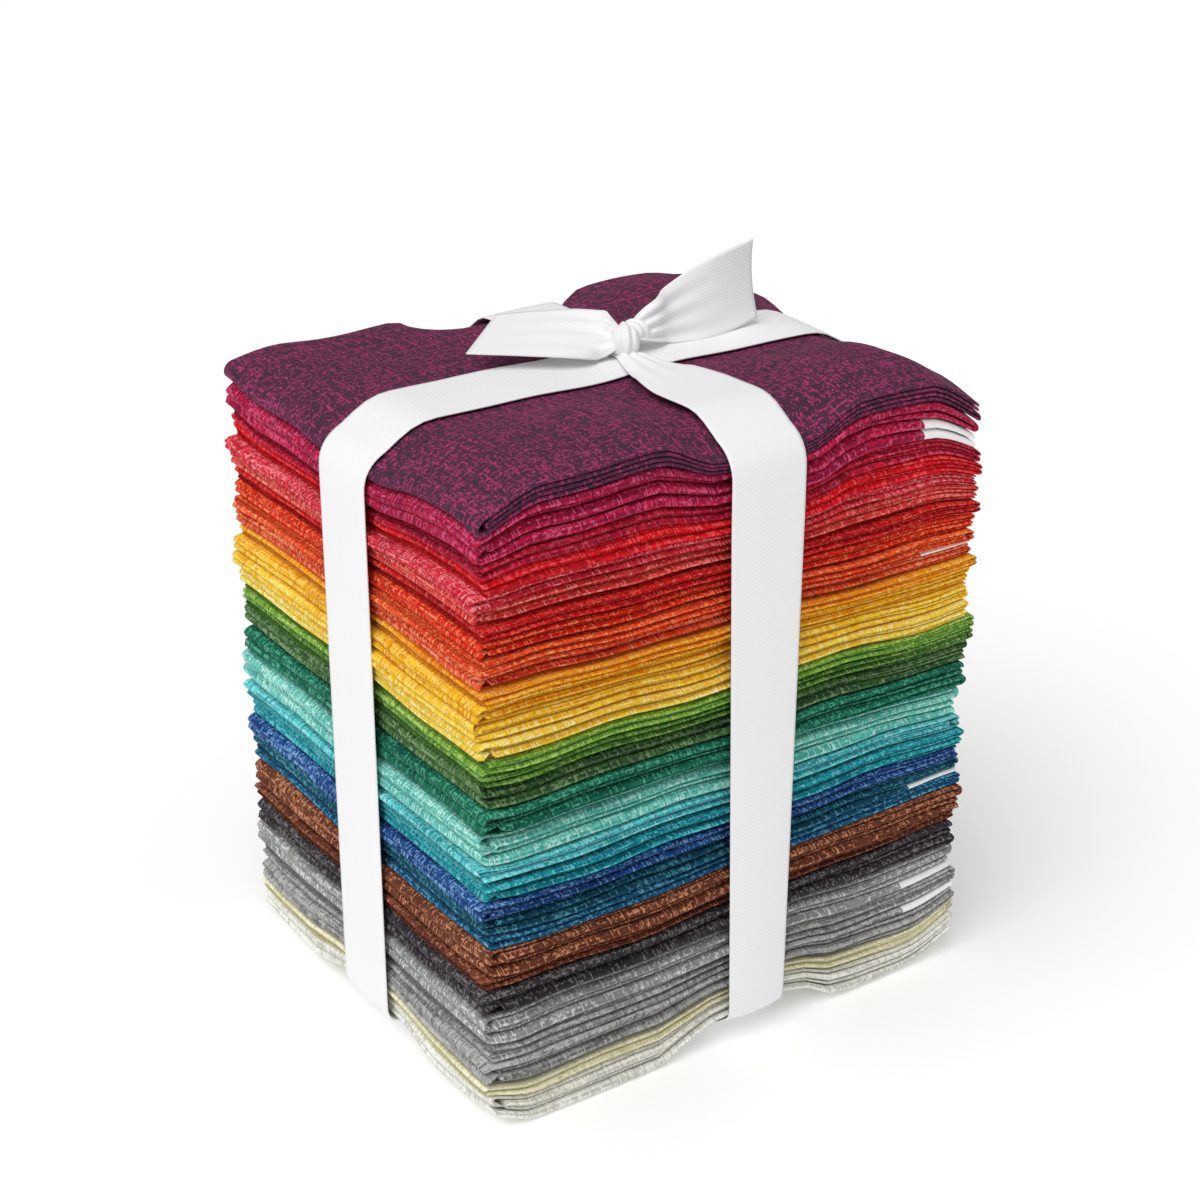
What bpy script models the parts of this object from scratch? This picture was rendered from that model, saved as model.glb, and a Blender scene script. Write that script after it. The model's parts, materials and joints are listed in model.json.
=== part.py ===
"""A bundle of 32 fat quarters of quilting cotton, folded in four both ways, stacked and tied with ribbon.

Metres, +Z up. X runs along the wide faces, on which the folded layers show in section, and Y along the
narrow faces, on which the folds show as ridges. The origin is under the middle of the stack.
"""

import math

import bpy
import numpy as np

MM = 0.001

# One fat quarter is cut 22 by 18 inches and folded in four each way.
INCH = 0.0254
CUT_LENGTH = 22 * INCH
CUT_WIDTH = 18 * INCH
FOLDS_EACH_WAY = 4
WIDTH = CUT_LENGTH / FOLDS_EACH_WAY
DEPTH = CUT_WIDTH / FOLDS_EACH_WAY

# The stack stands on its four puffed corners, and its sharp lower corners are this far up.
CORNER_RISE = 5.0 * MM
# The thick folds lie at -X, so towards +X the stack is lower at the top and higher at the bottom.
RIGHT_RISE = 2.5 * MM
RIGHT_SQUEEZE = 0.045
PIECE_GAP = 0.3 * MM
MIXED_GRID_GAP = 0.6 * MM
LAYER_SHARE = 0.8
LAYER_SPACING = (4 - LAYER_SHARE) / 3
# A sloping layer is higher than it is thick.
SLOPE_ALLOWANCE = 0.86
MEAN_PIECE = 4.70 * MM
PIECE_EVENING = 0.12

# How far the puffed quadrants reach down into the stack from the top, and up from the bottom.
TOP_PUFF_DEPTH = 31 * MM
BOTTOM_PUFF_DEPTH = 25 * MM
PUFF_FADE = 1.5

# The ribbon: where its two bands run, and the space that they press into the stack.
BAND_X_AT_Y = -1.0 * MM
BAND_Y_AT_X = 5.0 * MM
RIBBON_WIDTH = 20.5 * MM
RIBBON_THICKNESS = 1.0 * MM
RIBBON_CLEARANCE = 0.3 * MM
CROSSING_CLEARANCE = 0.5 * MM
VALLEY_MARGIN = 1.0 * MM
EDGE_ZONE = 13 * MM
TOP_BEND = 11 * MM
BOTTOM_BEND = 4.5 * MM

# Each row is one fat quarter, from the bottom up: its name, its height in the stack in mm, how it is laid,
# its shift along X and Y in mm, and its colour as red, green and blue from 0 to 255.
# "ridge" lays its one thick fold on the -X face, "edges" lays its cut edges there; a trailing "_over" turns
# it upside down.
QUARTERS = (
    ("off_white", 5.6, "ridge", 0.3, -0.3, (235, 235, 228)),
    ("cream", 3.3, "edges", 0.0, 0.4, (240, 235, 195)),
    ("grey", 6.5, "ridge_over", -0.2, -0.5, (135, 135, 135)),
    ("mid_grey", 3.2, "edges_over", 0.5, 0.2, (150, 150, 150)),
    ("light_grey", 7.5, "ridge", -0.3, 0.6, (190, 190, 190)),
    ("charcoal", 7.9, "ridge_over", -0.6, -0.4, (65, 65, 70)),
    ("brown", 3.1, "edges", -0.9, 0.3, (125, 60, 40)),
    ("rust", 7.6, "ridge", 0.1, -0.9, (160, 70, 40)),
    ("blue_teal", 3.1, "edges_over", 0.6, 0.5, (30, 110, 150)),
    ("dark_teal", 4.7, "ridge", 0.2, 0.7, (20, 100, 115)),
    ("royal_blue", 4.9, "ridge_over", -0.8, 0.2, (40, 75, 150)),
    ("turquoise", 5.3, "ridge", 0.2, -0.8, (20, 160, 155)),
    ("aqua", 4.3, "edges", -1.0, 0.4, (110, 205, 210)),
    ("mint", 8.5, "ridge", -1.0, 0.7, (150, 225, 205)),
    ("teal_green", 7.1, "ridge_over", -0.2, -0.6, (20, 125, 100)),
    ("sage", 5.3, "ridge", 0.5, 0.5, (70, 105, 70)),
    ("olive", 3.0, "edges", 0.8, 0.0, (88, 140, 60)),
    ("light_green", 3.6, "edges_over", 0.7, -0.5, (130, 195, 80)),
    ("pale_yellow", 4.5, "ridge", -0.7, -0.9, (250, 225, 110)),
    ("light_yellow", 4.3, "ridge_over", -0.9, 0.5, (250, 205, 60)),
    ("golden", 4.6, "ridge", -0.5, 0.8, (240, 160, 20)),
    ("yellow_orange", 3.0, "edges", 0.4, -0.6, (245, 175, 20)),
    ("coral_orange", 4.6, "ridge_over", 0.0, 0.4, (225, 85, 55)),
    ("orange", 3.0, "edges_over", -0.7, -0.7, (240, 95, 35)),
    ("red_orange", 3.8, "ridge", 0.1, 0.3, (225, 60, 25)),
    ("dark_red", 3.2, "edges", 0.9, -0.4, (185, 20, 25)),
    ("salmon", 3.8, "ridge", 0.9, 0.6, (225, 90, 75)),
    ("coral_pink", 3.0, "ridge_over", -0.8, 0.1, (220, 75, 95)),
    ("bright_red", 3.0, "edges", 0.9, -0.5, (225, 12, 30)),
    ("crimson", 3.0, "edges_over", 0.6, 0.3, (170, 30, 65)),
    ("raspberry", 7.3, "ridge", -0.8, -0.3, (175, 30, 80)),
    ("plum", 4.9, "ridge_over", -0.2, 0.2, (80, 48, 78)),
)
FINE_PIECES_TOP = 3
FINE_PIECES_BOTTOM = 2
RIBBON_COLOUR = (245, 245, 245)
CLOTH_ROUGHNESS = 0.85
RIBBON_ROUGHNESS = 0.55

# Heights in mm of the puffed quadrants over the corners, on the wide front and back faces, the narrow left
# and right faces and inside. "left_tilt" is what the left face has more at its front and less at its back,
# and "rightwards" the share that the wide faces grow by towards +X. Under the ribbon a share of the height
# is kept, inside and at the faces, and each face's edge is pulled down by the millimetres below.
PUFF_EDGE = 17 * MM
VALLEY_FADE = 17 * MM
TOP_PUFF = {
    "front": 7.5, "back": 3.0, "left": 0.0, "left_tilt": 2.0, "right": 3.3, "inside": 0.7, "rightwards": 0.18
}
BOTTOM_PUFF = {
    "front": 6.2, "back": 6.2, "left": 2.0, "left_tilt": 0.0, "right": 3.0, "inside": 1.5, "rightwards": 0.0
}
TOP_VALLEY = {
    "band_x": 0.72, "band_y": 0.80, "at_face": 0.60, "left": 1.8, "right": 0.0, "front": 1.8, "back": 3.8
}
BOTTOM_VALLEY = {
    "band_x": 0.15, "band_y": 0.15, "at_face": 0.0, "left": 2.2, "right": 2.2, "front": 1.8, "back": 1.8
}
PLUM_PINCH = 1.3 * MM

# The knot and the free ends. Each row of a free end is one section: its middle along X, Y and Z from the
# knot in mm, its width in mm, and how far its width leans from level, in degrees.
KNOT_SIZE = (17 * MM, 14 * MM, 9.5 * MM)
KNOT_BESIDE = 2.0 * MM
# The subdivided knot is this much less high below its middle than the cube that it comes from.
KNOT_SHRINK = 0.76 * MM
TAIL_LEFT = (
    (-5.9, 2.95, 0.7, 9.0, -6),
    (-12.0, 6.6, 1.9, 16.0, -10),
    (-18.0, 10.2, 2.2, 20.0, -12),
    (-24.0, 14.0, 2.1, 21.0, -12),
    (-31.0, 18.4, 1.9, 21.0, -10),
)
TAIL_RIGHT = (
    (6.55, 0.55, 0.8, 8.0, 20),
    (12.0, 1.0, 3.0, 14.0, 44),
    (19.5, 1.8, 4.4, 17.5, 60),
    (28.0, 2.4, 5.2, 18.5, 68),
    (37.5, 3.0, 5.4, 19.0, 72),
)
TAIL_CUT_LEFT = 8.0 * MM
TAIL_CUT_RIGHT = 4.0 * MM


def ramp(value):
    """0 below 0, 1 above 1, and a smooth S between."""
    value = np.clip(value, 0.0, 1.0)
    return value * value * (3 - 2 * value)


def from_edge(position, size, zone):
    """0 at both ends of a side of this size, 1 from zone inwards, steepest near the ends."""
    inwards = np.clip((size / 2 - np.abs(position)) / zone, 0.0, 1.0)
    return inwards * (1 + inwards - inwards * inwards)


def under_band(position, centre):
    """1 under a band of the ribbon, fading to 0 beside it."""
    return 1 - ramp((np.abs(position - centre) - RIBBON_WIDTH / 2 - VALLEY_MARGIN) / VALLEY_FADE)


def puff(x, y, heights, valley):
    """Height of the puffed quadrants over the level of the corners, lower where the ribbon lies."""
    in_x = from_edge(x, WIDTH, PUFF_EDGE)
    in_y = from_edge(y, DEPTH, PUFF_EDGE)
    band_x = under_band(y, BAND_X_AT_Y)
    band_y = under_band(x, BAND_Y_AT_X)
    backwards = y / DEPTH + 0.5
    wide_face = heights["front"] + (heights["back"] - heights["front"]) * backwards
    wide_face = wide_face * (1 + heights["rightwards"] * x / (WIDTH / 2))
    narrow_face = heights["left"] + (heights["right"] - heights["left"]) * (x / WIDTH + 0.5)
    narrow_face = narrow_face - heights["left_tilt"] * y / (DEPTH / 2) * (0.5 - x / WIDTH)
    crown = wide_face * in_x + narrow_face * in_y + heights["inside"] * in_x * in_y
    kept_x = valley["at_face"] + (valley["band_x"] - valley["at_face"]) * in_x
    kept_y = valley["at_face"] + (valley["band_y"] - valley["at_face"]) * in_y
    pressed_x, pressed_y = band_x * (1 - kept_x), band_y * (1 - kept_y)
    pulled_x = np.where(x < 0, valley["left"], valley["right"]) * band_x * (1 - from_edge(x, WIDTH, EDGE_ZONE))
    pulled_y = np.where(y < 0, valley["front"], valley["back"]) * band_y * (1 - from_edge(y, DEPTH, EDGE_ZONE))
    return (crown * (1 - np.maximum(pressed_x, pressed_y)) - pulled_x - pulled_y) * MM


def piece_heights():
    """The heights of the quarters, each evened a little towards the mean."""
    drawn = np.array([row[1] for row in QUARTERS]) * MM
    return drawn + (MEAN_PIECE - drawn) * PIECE_EVENING


HEIGHTS = piece_heights()
LEVELS = np.concatenate([[0.0], np.cumsum(HEIGHTS)])
# The puffed form is at its full height on the underside of the top quarter.
FULL_PUFF_LEVEL = LEVELS[-2]


def surface_between(level, x, y):
    """The smooth surface between two quarters, at this level of the stack's corners."""
    below_top = np.clip(1 - (FULL_PUFF_LEVEL - level) / TOP_PUFF_DEPTH, 0.0, 1.0) ** PUFF_FADE
    above_floor = np.clip(1 - level / BOTTOM_PUFF_DEPTH, 0.0, 1.0) ** PUFF_FADE
    rightwards = x / WIDTH + 0.5
    rise = CORNER_RISE + RIGHT_RISE * rightwards
    hanging = np.minimum(puff(x, y, BOTTOM_PUFF, BOTTOM_VALLEY), rise)
    height = rise + level * (1 - RIGHT_SQUEEZE * rightwards) - above_floor * hanging
    height = height + below_top * puff(x, y, TOP_PUFF, TOP_VALLEY)
    if level > FULL_PUFF_LEVEL:
        pulled = under_band(y, BAND_X_AT_Y) * (1 - from_edge(x, WIDTH, EDGE_ZONE))
        pulled += under_band(x, BAND_Y_AT_X) * (1 - from_edge(y, DEPTH, EDGE_ZONE))
        height = height - PLUM_PINCH * np.minimum(pulled, 1.0)
    return height


def stations(size, band_at, kind):
    """Where a side is divided: at the band's two edges, and once or twice in the quadrants beside it."""
    low, high = -size / 2, size / 2
    left = band_at - RIBBON_WIDTH / 2 - VALLEY_MARGIN
    right = band_at + RIBBON_WIDTH / 2 + VALLEY_MARGIN
    if kind == "twice":
        inner = [low + EDGE_ZONE, (low + left) / 2, left, right, (high + right) / 2, high - EDGE_ZONE]
    elif kind == "once":
        inner = [(low + left) / 2, left, right, (high + right) / 2]
    else:
        inner = [band_at]
    return np.array([low] + inner + [high])


# Each row is how finely a quarter is divided, then how its quadrants are divided along X and along Y.
GRIDS = (("fine", "twice", "twice"), ("puffed", "twice", "once"), ("plain", "never", "never"))
X_STATIONS = {row[0]: stations(WIDTH, BAND_Y_AT_X, row[1]) for row in GRIDS}
Y_STATIONS = {row[0]: stations(DEPTH, BAND_X_AT_Y, row[2]) for row in GRIDS}


def kind_of_piece(index):
    """How finely this quarter is divided."""
    if index < FINE_PIECES_BOTTOM or index >= len(QUARTERS) - FINE_PIECES_TOP:
        return "fine"
    low_puffed = LEVELS[index] < BOTTOM_PUFF_DEPTH
    high_puffed = LEVELS[index + 1] > FULL_PUFF_LEVEL - TOP_PUFF_DEPTH
    return "puffed" if low_puffed or high_puffed else "plain"


def kind_of_surface(index):
    """The coarser of the two quarters that share this surface."""
    order = ("plain", "puffed", "fine")
    beside = [kind_of_piece(i) for i in (index - 1, index) if 0 <= i < len(QUARTERS)]
    return min(beside, key=order.index)


def surface_at(index, x, y):
    """The height of surface number index, flat between its own stations, so that both its sides meet it."""
    kind = kind_of_surface(index)
    grid_x, grid_y = X_STATIONS[kind], Y_STATIONS[kind]
    corners = surface_between(LEVELS[index], *np.meshgrid(grid_x, grid_y, indexing="ij"))
    i = np.clip(np.searchsorted(grid_x, x) - 1, 0, len(grid_x) - 2)
    j = np.clip(np.searchsorted(grid_y, y) - 1, 0, len(grid_y) - 2)
    across = (x - grid_x[i]) / (grid_x[i + 1] - grid_x[i])
    along = (y - grid_y[j]) / (grid_y[j + 1] - grid_y[j])
    first, last = corners[i, j], corners[i + 1, j + 1]
    # Each cell is two flat triangles, which share the line from its lowest X and Y to its highest.
    beside = np.where(across > along, corners[i + 1, j], corners[i, j + 1])
    larger, smaller = np.maximum(across, along), np.minimum(across, along)
    return first + (beside - first) * larger + (last - beside) * smaller


def room_beside(index, other):
    """The room that a quarter leaves to the surface shared with the other one, more where they differ in grid."""
    if other < 0:
        return 0.0
    if other < len(QUARTERS) and kind_of_piece(index) != kind_of_piece(other):
        return MIXED_GRID_GAP
    return PIECE_GAP / 2


def turn(centre, radius, low, high, steps, side):
    """A fold: half an ellipse from the layer at height low to the one at high, out towards side."""
    angle = np.linspace(-math.pi / 2, math.pi / 2, steps + 1)
    across = centre + side * radius * np.cos(angle)
    up = (low + high) / 2 + (high - low) / 2 * np.sin(angle)
    return np.column_stack([across, up])


def folded_section(grid_x, pitch):
    """The line of a cloth folded in half twice, as X and height in layers, from cut edge to cut edge.

    The thick fold is at -X, with a second fold inside it. The third fold, over the two upper layers, and
    the cut edges are at +X.
    """
    outer, inner = 2.0 * pitch, 0.9 * pitch
    left, right = grid_x[0] + outer, grid_x[-1] - inner
    middle = grid_x[1:-1]
    run = np.concatenate([[left], middle, [right]])
    inside = np.concatenate([[left + 0.9 * pitch], middle, [right]])
    layers = LAYER_SHARE / 2 + np.arange(FOLDS_EACH_WAY) * LAYER_SPACING
    parts = [
        np.column_stack([run[::-1], np.full(len(run), layers[0])]),
        turn(left, outer * 0.86, layers[0], layers[3], 3, -1)[1:-1],
        np.column_stack([run, np.full(len(run), layers[3])]),
        turn(right, inner * 0.5, layers[2], layers[3], 2, 1)[1:-1],
        np.column_stack([inside[::-1], np.full(len(run), layers[2])]),
        turn(inside[0], inner * 0.6, layers[1], layers[2], 2, -1)[1:-1],
        np.column_stack([inside, np.full(len(run), layers[1])]),
    ]
    return np.concatenate(parts)


def new_material(name, colour, roughness):
    """A plain cloth or ribbon finish from a colour of 0 to 255."""
    material = bpy.data.materials.new(name)
    material.use_nodes = True
    shader = material.node_tree.nodes["Principled BSDF"]
    share = np.array(colour) / 255
    linear = np.where(share <= 0.04045, share / 12.92, ((share + 0.055) / 1.055) ** 2.4)
    shader.inputs["Base Color"].default_value = (*linear, 1.0)
    shader.inputs["Roughness"].default_value = roughness
    shader.inputs["Metallic"].default_value = 0.0
    return material


def sheet_object(name, grid, thickness, material, closed=False):
    """An open sheet through a grid of points, given its thickness by Solidify.

    The grid has one row of points for each section, and thickness is one value or one for each point.
    """
    rows, columns = grid.shape[:2]
    index = np.arange(rows * columns).reshape(rows, columns)
    if closed:
        index = np.vstack([index, index[:1]])
    a, b, c, d = index[:-1, :-1], index[1:, :-1], index[1:, 1:], index[:-1, 1:]
    # The shared side of each two triangles runs the same way in layers that go forth and back along X.
    forth = (np.roll(grid[:, :, 0], -1, axis=0) >= grid[:, :, 0])[: len(a), :-1, None]
    one = np.where(forth, np.stack([a, b, c], axis=-1), np.stack([a, b, d], axis=-1))
    other = np.where(forth, np.stack([a, c, d], axis=-1), np.stack([b, c, d], axis=-1))
    faces = np.concatenate([one.reshape(-1, 3), other.reshape(-1, 3)])
    mesh = bpy.data.meshes.new(name)
    mesh.from_pydata(grid.reshape(-1, 3).tolist(), [], faces.tolist())
    mesh.materials.append(material)
    mesh.shade_smooth()
    mesh.set_sharp_from_angle(angle=math.radians(50))
    sheet = bpy.data.objects.new(name, mesh)
    thickness = np.broadcast_to(thickness, (rows, columns)).reshape(-1)
    most = float(thickness.max())
    weights = sheet.vertex_groups.new(name="thickness")
    for number, value in enumerate(thickness):
        weights.add([number], float(value) / most, "REPLACE")
    solidify = sheet.modifiers.new("Thickness", "SOLIDIFY")
    solidify.thickness = most
    solidify.offset = 0.0
    solidify.use_even_offset = True
    solidify.vertex_group = weights.name
    return sheet


def quarter(index, collection):
    """One folded fat quarter, between its two surfaces in the stack."""
    label, _, lay, shift_x, shift_y, colour = QUARTERS[index]
    kind = kind_of_piece(index)
    # Only the outline shifts: the places in between stay over each other in the whole stack.
    grid_x, grid_y = X_STATIONS[kind].copy(), Y_STATIONS[kind].copy()
    grid_x[[0, -1]] += shift_x * MM
    grid_y[[0, -1]] += shift_y * MM
    pitch = (HEIGHTS[index] - PIECE_GAP) / FOLDS_EACH_WAY
    turned = lay.startswith("edges")
    section = folded_section(-grid_x[::-1] if turned else grid_x, pitch)
    across = -section[:, 0] if turned else section[:, 0]
    level = FOLDS_EACH_WAY - section[:, 1] if lay.endswith("over") else section[:, 1]
    x = np.repeat(across[:, None], len(grid_y), axis=1)
    y = np.repeat(grid_y[None, :], len(across), axis=0)
    low = surface_at(index, x, y) + room_beside(index, index - 1)
    high = surface_at(index + 1, x, y) - room_beside(index, index + 1)
    if index == 0:
        low = low - (high - low) / FOLDS_EACH_WAY * LAYER_SHARE * (1 - SLOPE_ALLOWANCE) / 2
    z = low + (high - low) * level[:, None] / FOLDS_EACH_WAY
    thickness = (high - low) / FOLDS_EACH_WAY * LAYER_SHARE * SLOPE_ALLOWANCE
    name = f"quarter_{index + 1:02d}_{label}"
    material = new_material(f"cotton_{label}", colour, CLOTH_ROUGHNESS)
    collection.objects.link(sheet_object(name, np.stack([x, y, z], axis=-1), thickness, material))


def corner_arc(start, end, corner, steps):
    """Points of a bend from start to end about the corner that their lines meet in."""
    share = np.linspace(0.0, 1.0, steps + 2)[1:-1, None]
    start, end, corner = np.array(start), np.array(end), np.array(corner)
    return start * (1 - share) ** 2 + corner * 2 * share * (1 - share) + end * share**2


def band_line(reach, along, top, bottom):
    """The closed line of a band, seen from its side, from the top anticlockwise.

    reach is how far both sides stand from the middle, and along the places that have the heights top
    and bottom.
    """
    corner_steps = 3
    upper = list(zip(along[::-1], top[::-1]))
    lower = list(zip(along, bottom))
    turns = []
    for x, first, last, bend_from, bend_to in (
        (-reach, upper[-1], lower[0], TOP_BEND, BOTTOM_BEND),
        (reach, lower[-1], upper[0], BOTTOM_BEND, TOP_BEND),
    ):
        up = 1 if x > 0 else -1
        start_z, end_z = first[1] + up * bend_from, last[1] - up * bend_to
        turns.append(list(corner_arc(first, (x, start_z), (x, first[1]), corner_steps)) + [(x, start_z)])
        turns[-1] += [(x, end_z)] + list(corner_arc((x, end_z), last, (x, last[1]), corner_steps))
    return np.array(upper + turns[0] + lower + turns[1])


def band_heights(along, at, across_x, lift_top, lift_bottom):
    """Heights of a band's middle over and under the stack, along one direction."""
    x, y = (along, np.full(len(along), at)) if across_x else (np.full(len(along), at), along)
    rise = RIBBON_CLEARANCE + RIBBON_THICKNESS / 2
    top = surface_at(len(QUARTERS), x, y) + rise + lift_top
    bottom = surface_at(0, x, y) - rise - lift_bottom
    return top, bottom


def ribbon_band(name, across_x, material, collection):
    """One closed band of the ribbon round the stack, and how high its top is where the two bands cross.

    The band along Y lies over the one along X.
    """
    size = WIDTH if across_x else DEPTH
    at = BAND_X_AT_Y if across_x else BAND_Y_AT_X
    column = 3 if across_x else 4
    most_shift = max(abs(row[column]) for row in QUARTERS) * MM
    reach = size / 2 + most_shift + RIBBON_CLEARANCE + RIBBON_THICKNESS / 2
    grid = (X_STATIONS if across_x else Y_STATIONS)["fine"]
    along = grid[1:-1]
    lift = np.zeros(len(along))
    if not across_x:
        step = RIBBON_THICKNESS + CROSSING_CLEARANCE
        crossing = RIBBON_WIDTH / 2 + VALLEY_MARGIN
        lift = step * (np.abs(along - BAND_X_AT_Y) <= crossing * 1.01)
    top, bottom = band_heights(along, at, across_x, lift, lift)
    line = band_line(reach, along, top, bottom)
    edges = np.array([-RIBBON_WIDTH / 2, RIBBON_WIDTH / 2]) + at
    first = np.repeat(line[:, :1], 2, axis=1)
    height = np.repeat(line[:, 1:], 2, axis=1)
    side = np.repeat(edges[None, :], len(line), axis=0)
    points = (first, side, height) if across_x else (side, first, height)
    grid_points = np.stack(points, axis=-1)
    if not across_x:
        grid_points = grid_points[:, ::-1]
    band = sheet_object(name, grid_points, RIBBON_THICKNESS, material, closed=True)
    collection.objects.link(band)
    return float(np.interp(BAND_X_AT_Y, along, top)) + RIBBON_THICKNESS / 2


def ribbon_knot(base, material, collection):
    """The knot: a soft rounded form, drawn in where one end wraps the other. It returns its middle."""
    height = base + RIBBON_CLEARANCE + KNOT_SIZE[2] / 2 - KNOT_SHRINK
    centre = (BAND_Y_AT_X + KNOT_BESIDE, BAND_X_AT_Y, height)
    bpy.ops.mesh.primitive_cube_add(size=1.0, location=centre)
    knot = bpy.context.object
    knot.name = "ribbon_knot"
    knot.data.name = "ribbon_knot"
    for point in knot.data.vertices:
        point.co = [part * size for part, size in zip(point.co, KNOT_SIZE)]
        if point.co.z > 0:
            point.co.x *= 0.8
            point.co.y *= 0.85
    subdivision = knot.modifiers.new("Soft form", "SUBSURF")
    subdivision.levels = 2
    subdivision.render_levels = 2
    knot.data.materials.append(material)
    knot.data.shade_smooth()
    for holder in list(knot.users_collection):
        holder.objects.unlink(knot)
    collection.objects.link(knot)
    return np.array(centre)


def ribbon_tail(name, rows, cut, knot_centre, material, collection):
    """A free end of the ribbon, from its sections beside the knot to its slanted cut."""
    table = np.array(rows, dtype=float)
    middle = table[:, :3] * MM + knot_centre
    half = table[:, 3] * MM / 2
    lean = np.radians(table[:, 4])
    along = np.gradient(middle, axis=0)
    along /= np.linalg.norm(along, axis=1)[:, None]
    level = np.cross(np.array([0.0, 0.0, 1.0]), along)
    level /= np.linalg.norm(level, axis=1)[:, None]
    upright = np.cross(along, level)
    across = level * np.cos(lean)[:, None] + upright * np.sin(lean)[:, None]
    side = np.array([-1.0, 0.0, 1.0])
    grid = middle[:, None] + across[:, None] * side[:, None] * half[:, None, None]
    grid[-1] += along[-1] * side[:, None] * cut / 2
    collection.objects.link(sheet_object(name, grid, RIBBON_THICKNESS, material))


def build():
    for existing in list(bpy.data.objects):
        bpy.data.objects.remove(existing, do_unlink=True)
    bundle = bpy.data.collections.new("fat_quarter_bundle")
    bpy.context.scene.collection.children.link(bundle)
    for index in range(len(QUARTERS)):
        quarter(index, bundle)
    white = new_material("ribbon_white", RIBBON_COLOUR, RIBBON_ROUGHNESS)
    ribbon_band("ribbon_band_x", True, white, bundle)
    knot_base = ribbon_band("ribbon_band_y", False, white, bundle)
    knot_centre = ribbon_knot(knot_base, white, bundle)
    ribbon_tail("ribbon_tail_left", TAIL_LEFT, TAIL_CUT_LEFT, knot_centre, white, bundle)
    ribbon_tail("ribbon_tail_right", TAIL_RIGHT, TAIL_CUT_RIGHT, knot_centre, white, bundle)


build()
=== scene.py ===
# %% [markdown]
# # A tied bundle of fat quarters
#
# A fat quarter is a piece of quilting cotton cut 18 by 22 inches. A shop folds each one in four both ways,
# stacks them in colour order and ties the stack with ribbon. This lesson dresses the plain solids of such a
# bundle: every cotton sheet is worked out as one real, doubly folded sheet, and the ribbon as thin bands.
# First they are loaded, and each one is hidden where the cloth or the ribbon takes its place.

# %% Load the solids
import json
import math
from collections import namedtuple

import bpy
import numpy as np
from mathutils import Matrix

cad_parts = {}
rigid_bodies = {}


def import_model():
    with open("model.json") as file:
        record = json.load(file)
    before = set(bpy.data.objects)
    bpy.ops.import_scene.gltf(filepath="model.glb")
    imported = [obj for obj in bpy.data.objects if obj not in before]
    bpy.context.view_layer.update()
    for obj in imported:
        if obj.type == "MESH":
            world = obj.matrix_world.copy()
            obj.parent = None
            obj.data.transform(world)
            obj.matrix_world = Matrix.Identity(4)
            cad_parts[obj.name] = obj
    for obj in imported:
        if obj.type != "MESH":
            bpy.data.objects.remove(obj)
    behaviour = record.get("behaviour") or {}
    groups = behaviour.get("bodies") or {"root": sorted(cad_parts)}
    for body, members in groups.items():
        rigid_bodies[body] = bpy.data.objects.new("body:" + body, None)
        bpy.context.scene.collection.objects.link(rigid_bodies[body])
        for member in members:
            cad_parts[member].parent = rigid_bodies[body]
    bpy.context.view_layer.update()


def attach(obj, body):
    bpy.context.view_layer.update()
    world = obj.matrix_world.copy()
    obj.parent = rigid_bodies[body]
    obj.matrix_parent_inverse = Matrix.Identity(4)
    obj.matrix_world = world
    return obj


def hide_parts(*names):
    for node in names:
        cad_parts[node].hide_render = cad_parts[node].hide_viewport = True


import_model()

# %% [markdown]
# ## The stack's own measures
#
# A ruler on the real bundle gives a few numbers: the folded size, the height of each quarter at the stack's
# corners, and where the two bands of ribbon press it down. They are kept in one place, because both the
# cloth and the ribbon are worked out from them.

# %% Sizes of the folded cloth
MM = 0.001
INCH = 0.0254
CUT_LENGTH = 22 * INCH
CUT_WIDTH = 18 * INCH
WIDTH = CUT_LENGTH / 4
DEPTH = CUT_WIDTH / 4
CORNER_RISE = 5.0 * MM
RIGHT_RISE = 2.5 * MM
RIGHT_SQUEEZE = 0.045
MEAN_PIECE = 4.70 * MM
PIECE_EVENING = 0.12
CLOTH_GAP = 0.12 * MM
print("folded size in mm:", round(WIDTH / MM, 1), "x", round(DEPTH / MM, 1))

# %% [markdown]
# ## The thirty-two cottons
#
# Each row is one fat quarter from the bottom up: its height in the stack in millimetres, how it is laid, how
# far it sits out of line, and its print. The print is a crosshatch of slubs, so it has three colours: the
# ground, the darker threads and the lighter flecks. A last word says which end shows its bare selvedge.

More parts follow.
